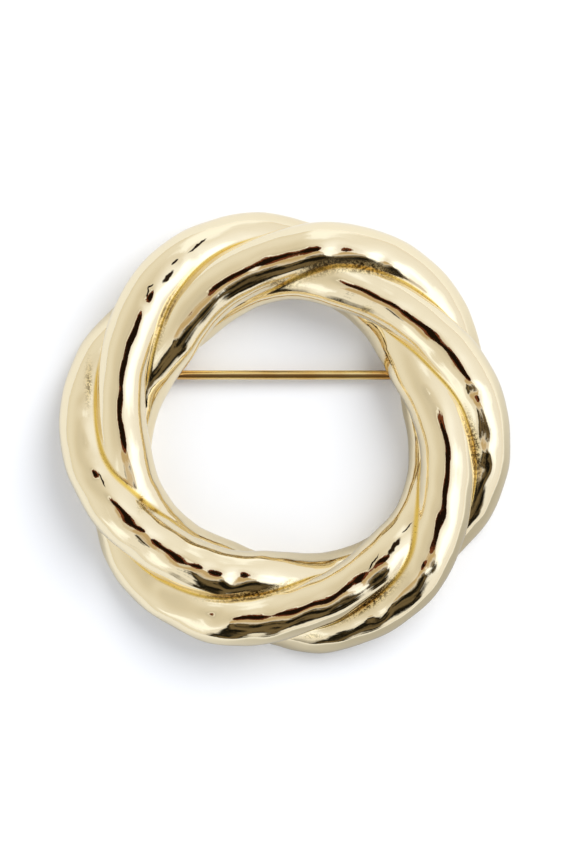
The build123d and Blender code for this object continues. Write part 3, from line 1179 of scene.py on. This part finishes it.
@dataclass(frozen=True)
class LightTent:
    """A light tent with soft panels, the camera's dark opening overhead and the dark near side.

    The metal sees the tent by tilt, the angle from the zenith, and by heading, the angle
    round it from +X, both bent by a slow noise so that nothing in it has a drawn edge. The
    floor takes plain white light, and the camera sees plain white. Each tuple that starts
    with two tilts or levels holds what MapRange takes after its value.
    """

    drift: tuple[float, float, float] = (3.2, 3.0, 0.6)
    crumple: Pair = (9.0, 1.0)
    tilt_bend: Numbers = (0.3, 0.7, -5.0, 5.0)
    heading_bend: Numbers = (0.3, 0.7, -4.0, 4.0)
    level: float = 0.86
    bright_heading: float = -20.0
    swing: Numbers = (30.0, 70.0, 0.19, 0.05)
    lights: tuple[Panel, ...] = (
        Panel(-20.0, 24.0, 27.0, 60.0, 8.0, 0.42), Panel(84.0, 14.0, 46.0, 100.0, 7.0, 0.22),
        Panel(-134.0, 8.0, 48.0, 74.0, 6.0, 0.3))
    crown: Numbers = (13.0, 26.0, 0.9, 1.04)
    rim_light: Panel = Panel(140.0, 45.0, 12.0, 15.5, 1.5, 0.28)
    horizon: Numbers = (72.0, 90.0, 1.0, 0.95)
    green: Numbers = (0.74, 1.04, 0.95, 1.04)
    blue: Numbers = (0.74, 1.04, 0.87, 1.12)
    blue_swing: float = 0.03
    warm: Panel = Panel(-90.0, 44.0, 11.0, 26.0, 5.0)
    warm_tone: str = "#C5AF8B"
    dark: tuple[Panel, ...] = (
        Panel(-83.0, 31.5, 28.0, 45.0, 3.0), Panel(-80.5, 30.5, 40.0, 58.0, 3.0),
        Panel(-82.0, 27.0, 50.0, 78.0, 4.0), Panel(-101.0, 16.0, 72.0, 96.0, 4.0))
    dark_tones: tuple[str, str] = ("#17140C", "#6E6047")
    olive_levels: Pair = (0.44, 0.62)
    ragged: Numbers = (0.3, 0.7, -1.4, 1.4)
    rim_bend: Numbers = (0.35, 0.65, -2.5, 2.5)
    rim_tilts: Pair = (13.0, 11.2)
    rim_tone: str = "#6E3D26"
    core_bend: Numbers = (0.35, 0.65, -2.5, 4.0)
    core_tilts: Pair = (12.2, 9.8)
    core_tone: str = "#1C120A"
    sky: float = 0.8
    sky_tone: str = "#F3F7FF"
    sky_rise: Numbers = (14.0, 38.0, 0.25, 1.2)

    def build(self) -> None:
        """Make the world from the tent that the metal sees, the floor's sky and plain white."""
        world = bpy.data.worlds.new("tent")
        bpy.context.scene.world = world
        add = node_adder(world)
        way = add("TexCoord", output="Generated")
        drift = add("TexNoise", way, *self.drift, output="Color")
        bend_tilt, bend_heading, bend_tone = add("SeparateColor", drift).node.outputs
        x, y, z = add("SeparateXYZ", way).node.outputs
        tilt = add("Math.DEGREES", add("Math.ARCCOSINE", z))
        wide = add("Math.ADD", tilt, add("MapRange", bend_tilt, *self.tilt_bend, **EASE))
        heading = add("Math.DEGREES", add("Math.ARCTAN2", y, x))
        heading = add("Math.ADD", heading, add("MapRange", bend_heading, *self.heading_bend, **EASE))

        def share(panel: Panel) -> Socket:
            """How far a way lies inside a panel: by its heading, the short way round, and its tilt.

            Args:
                panel: The patch.

            Returns:
                1 well inside the patch, 0 outside it.
            """
            turn = add("Math.RADIANS", add("Math.SUBTRACT", heading, panel.centre))
            turn = add("Math.ARCCOSINE", add("Math.COSINE", turn))
            aside = add("Math.DEGREES", turn)
            sides = add("MapRange", aside, panel.half + panel.soft, panel.half - panel.soft, **EASE)
            foot = add("MapRange", wide, panel.low - panel.soft, panel.low + panel.soft, **EASE)
            head = add("MapRange", wide, panel.high + panel.soft, panel.high - panel.soft, **EASE)
            return add("Math.MULTIPLY", sides, add("Math.MULTIPLY", foot, head))

        def lit(level: Socket, panel: Panel) -> Socket:
            """A level with a panel's light added."""
            return add("Math.ADD", level, add("Math.MULTIPLY", share(panel), panel.gain))

        # the tent is brightest to the lower right and greyest to the upper left, least so low down
        toward = add("Math.RADIANS", add("Math.ADD", heading, -self.bright_heading))
        toward = add("Math.COSINE", toward)
        swing = add("Math.MULTIPLY", toward, add("MapRange", tilt, *self.swing, **EASE))
        level = add("Math.ADD", self.level, swing)
        for panel in self.lights:
            level = lit(level, panel)
        level = add("Math.MULTIPLY", level, add("MapRange", tilt, *self.crown, **EASE))
        level = lit(level, self.rim_light)
        level = add("Math.MULTIPLY", level, add("MapRange", tilt, *self.horizon, **EASE))
        # its greys are warm and its lights cool
        green, blue = (add("MapRange", level, *balance) for balance in (self.green, self.blue))
        blue = add("Math.ADD", blue, add("Math.MULTIPLY", toward, self.blue_swing))
        green, blue = (add("Math.MULTIPLY", level, tint) for tint in (green, blue))
        colour = add("CombineColor", level, green, blue)
        # warm things on the near side, seen close round the opening
        colour = add("Mix", share(self.warm), colour, linear(self.warm_tone), **COLOUR)
        # the dark near side, patched with olive
        patch = add("MapRange", bend_tone, *self.olive_levels, **EASE)
        gloom = add("Mix", patch, *(linear(tone) for tone in self.dark_tones), **COLOUR)
        dark = share(self.dark[0])
        for panel in self.dark[1:]:
            dark = add("Math.MAXIMUM", dark, share(panel))
        colour = add("Mix", dark, colour, gloom, **COLOUR)
        # the camera's opening, with a brown rim
        crumpled = add("TexNoise", way, *self.crumple)
        ragged = add("MapRange", crumpled, *self.ragged, **EASE)
        for noise, bend, tilts, tone in ((bend_tilt, self.rim_bend, self.rim_tilts, self.rim_tone),
                                         (bend_heading, self.core_bend, self.core_tilts, self.core_tone)):
            edge = add("Math.ADD", tilt, add("MapRange", noise, *bend, **EASE))
            edge = add("MapRange", add("Math.ADD", edge, ragged), *tilts, **EASE)
            colour = add("Mix", edge, colour, linear(tone), **COLOUR)
        tent = add("Background", colour, 1.0)
        # the floor gets less from the dark opening overhead than from the sides
        sides = add("Math.MULTIPLY", add("MapRange", tilt, *self.sky_rise, **EASE), self.sky)
        sky = add("Background", linear(self.sky_tone), sides)
        plain = add("Background", linear("#FFFFFF"), 1.0)
        ray = add("LightPath").node.outputs
        mixed = add("MixShader", ray["Is Glossy Ray"], sky, tent)
        add("OutputWorld", add("MixShader", ray["Is Camera Ray"], mixed, plain))


@dataclass
class Studio:
    """Pale floor, light tent, key light and the camera straight above."""

    picture: tuple[int, int] = (576, 864)
    centre_px: Pair = (284.7, 432.8)
    mm_per_px: float = 0.106
    height: float = 600.0
    plane_z: float = 3.0
    sensor: float = 36.0
    floor_half: float = 1500.0
    floor: str = "#FDFDFD"
    floor_in_metal: tuple[str, str] = ("#B3B0AA", "#EEEEEE")
    grey_patch_at: Pair = (32.0, -38.0)
    grey_patch_reach: Pair = (18.0, 62.0)
    key_power: float = 8.0
    key_size: float = 0.9
    key_heading: float = 42.0
    key_rise: float = 50.0
    key_away: float = 1.15

    def camera(self) -> None:
        """Camera above the ring, looking down with +Y up, at the photograph's scale."""
        data = bpy.data.cameras.new("camera")
        data.sensor_width = self.sensor
        data.lens = self.sensor * (self.height - self.plane_z) / (self.picture[1] * self.mm_per_px)
        data.clip_start, data.clip_end = 0.01, 10.0
        eye = link("camera", data)
        right = (self.picture[0] / 2 - self.centre_px[0]) * self.mm_per_px
        up = (self.centre_px[1] - self.picture[1] / 2) * self.mm_per_px
        eye.location = Vector((right, up, self.height)) * METRE
        bpy.context.scene.camera = eye

    def ground(self) -> None:
        """A plain pale floor in the plane of the ring's rims."""
        sides = self.floor_half * np.array([(-1, -1, 0), (1, -1, 0), (1, 1, 0), (-1, 1, 0)])
        ground = new_object("floor", sides, [[0, 1, 2, 3]])
        material = bpy.data.materials.new("white_paper")
        add = node_adder(material)
        # the metal sees the paper greyer on the near side, where the dark side of the tent shades it
        place = add("TexCoord", output="Object")
        x, y = (length * METRE for length in self.grey_patch_at)
        away = add("VectorMath.DISTANCE", place, (x, y, 0.0))
        clear = add("MapRange", away, *(reach * METRE for reach in self.grey_patch_reach), **EASE)
        paper = add("Mix", clear, *(linear(code) for code in self.floor_in_metal), **COLOUR)
        seen = add("LightPath", output="Is Glossy Ray")
        tone = add("Mix", seen, linear(self.floor), paper, **COLOUR)
        add("OutputMaterial", add("BsdfDiffuse", tone))
        ground.data.materials.append(material)

    def key_light(self) -> None:
        """A large soft light from the upper right, which gives the shadows their side."""
        data = bpy.data.lights.new("key", "AREA")
        data.shape, data.size, data.energy = "DISK", self.key_size, self.key_power
        key = link("key", data)
        heading, rise = np.radians(self.key_heading), np.radians(self.key_rise)
        aim = Vector((np.cos(heading) * np.cos(rise), np.sin(heading) * np.cos(rise), np.sin(rise)))
        key.location = aim * self.key_away
        key.rotation_mode = "QUATERNION"
        key.rotation_quaternion = aim.to_track_quat("Z", "Y")
        key.visible_glossy = False

    def build(self) -> None:
        """Set the colours' view, the camera, the floor and the light."""
        bpy.context.scene.view_settings.view_transform = "Standard"
        self.camera()
        self.ground()
        LightTent().build()
        self.key_light()


def main() -> None:
    """Build the brooch piece by piece, then the studio, and report each piece."""
    logging.basicConfig(level=logging.INFO, format="%(name)s: %(message)s")
    casting = PlatedCasting().build()
    wire = DrawnWire("plated_brass_drawn_wire", reflected_stripe_share=0.6).build()
    turned = DrawnWire("plated_brass_turned_rivet", roughness=0.16, run=(1.0, 0.05, 1.0)).build()
    made = [TwistedRing().build(casting), *HingeCheeks().build(casting), CatchLug().build(casting),
            HingeRivet().build(turned), PinStem().build(wire)]
    for piece in made:
        LOG.info("%s: %d corners, %d faces", piece.name, len(piece.data.vertices), len(piece.data.polygons))
    Studio().build()


if __name__ == "__main__":
    main()
